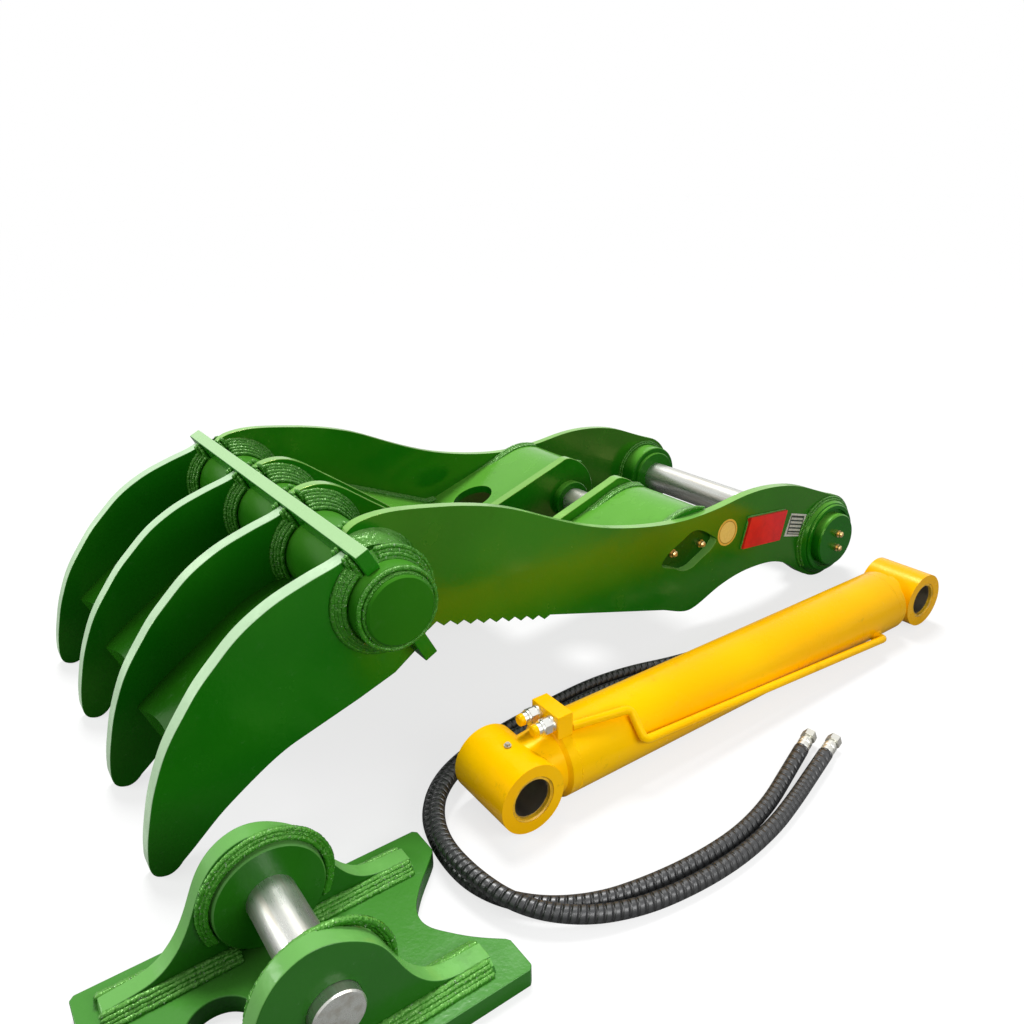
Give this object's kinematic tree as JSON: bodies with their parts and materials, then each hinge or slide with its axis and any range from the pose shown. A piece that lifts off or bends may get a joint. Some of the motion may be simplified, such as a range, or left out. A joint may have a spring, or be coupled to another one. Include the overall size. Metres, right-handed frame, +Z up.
{
  "type": "hydraulic thumb",
  "caption": "Hydraulic excavator thumb kit on the floor: clawed thumb weldment with bosses and pins, hydraulic cylinder with sliding rod, hoses and weld-on bracket.",
  "frame": {"origin": "on the floor, at the middle of the footprint of the thumb, cylinder and bracket", "axes": "+X from the finger tips towards the main pin, +Y from the near side plate to the far one, +Z up"},
  "size_m": [1.8599, 1.3314, 0.4505],
  "materials": {
    "thumb_green": "glossy enamel, dark green",
    "bracket_green": "glossy enamel, lighter green",
    "weld_green": "painted weld bead, rough",
    "cylinder_yellow": "glossy enamel, yellow orange",
    "pin_chrome": "ground and chromed",
    "rod_chrome": "chromed rod",
    "zinc": "zinc plated",
    "brass": "turned",
    "bush_steel": "turned",
    "seal_rubber": "smooth",
    "hose_rubber": "spiral guard, semi gloss",
    "red_plate": "glossy, bare",
    "data_plate": "satin, bare",
    "label_yellow": "glossy film, bare",
    "piston_steel": "turned"
  },
  "bodies": {
    "kit": {"barrel": "cylinder_yellow", "base_eye": "cylinder_yellow", "base_eye_bush": "bush_steel", "base_eye_seals": "seal_rubber", "boss_collars": "thumb_green", "bracket_base": "bracket_green", "bracket_bosses": "bracket_green", "bracket_ear_far": "bracket_green", "bracket_ear_near": "bracket_green", "bracket_welds": "bracket_green", "cover_far": "thumb_green", "cover_middle": "thumb_green", "cover_near": "thumb_green", "cross_plate_lower": "thumb_green", "cross_plate_upper": "thumb_green", "cross_tube": "thumb_green", "data_plate_blank": "data_plate", "disc_nipples": "brass", "eye_nipple": "zinc", "finger_1": "thumb_green", "finger_2": "thumb_green", "finger_3": "thumb_green", "finger_4": "thumb_green", "finger_web_1": "thumb_green", "finger_web_2": "thumb_green", "finger_web_3": "thumb_green", "finger_welds": "weld_green", "gland": "cylinder_yellow", "hard_line": "cylinder_yellow", "hose_inner": "hose_rubber", "hose_inner_fittings": "zinc", "hose_outer": "hose_rubber", "hose_outer_fittings": "zinc", "inner_plate_far": "thumb_green", "inner_plate_near": "thumb_green", "line_boss": "cylinder_yellow", "lug_bosses": "thumb_green", "main_boss_far": "thumb_green", "main_boss_near": "thumb_green", "name_plate_blank": "red_plate", "pin_discs": "thumb_green", "plate_welds": "weld_green", "port_block": "cylinder_yellow", "recess_nipples": "brass", "recess_plates": "thumb_green", "round_label": "label_yellow", "side_plate_far": "thumb_green", "side_plate_near": "thumb_green", "tube_caps": "thumb_green", "union_plugs": "cylinder_yellow", "unions": "zinc"},
    "rod_group": {"rod": "rod_chrome", "piston": "piston_steel", "rod_eye": "cylinder_yellow", "rod_eye_bush": "bush_steel", "rod_eye_seals": "seal_rubber"},
    "main_pin_body": {"main_pin": "pin_chrome"},
    "cylinder_pin_body": {"cylinder_pin": "pin_chrome"},
    "bracket_pin_body": {"bracket_pin": "pin_chrome"}
  },
  "joints": [
    {"name": "rod_slide", "type": "slide", "parent": "kit", "child": "rod_group", "axis": [1, 0, 0], "range_m": [0, 0.65]},
    {"name": "main_pin_turn", "type": "hinge", "parent": "kit", "child": "main_pin_body", "pos_m": [0.826, 0.2035, 0.104], "axis": [0, 1, 0], "continuous": true},
    {"name": "cylinder_pin_turn", "type": "hinge", "parent": "kit", "child": "cylinder_pin_body", "pos_m": [0.359, 0.2035, 0.19], "axis": [0, 1, 0], "continuous": true},
    {"name": "bracket_pin_turn", "type": "hinge", "parent": "kit", "child": "bracket_pin_body", "pos_m": [-0.692, -0.5005, 0.104], "axis": [0, 1, 0], "continuous": true}
  ]
}
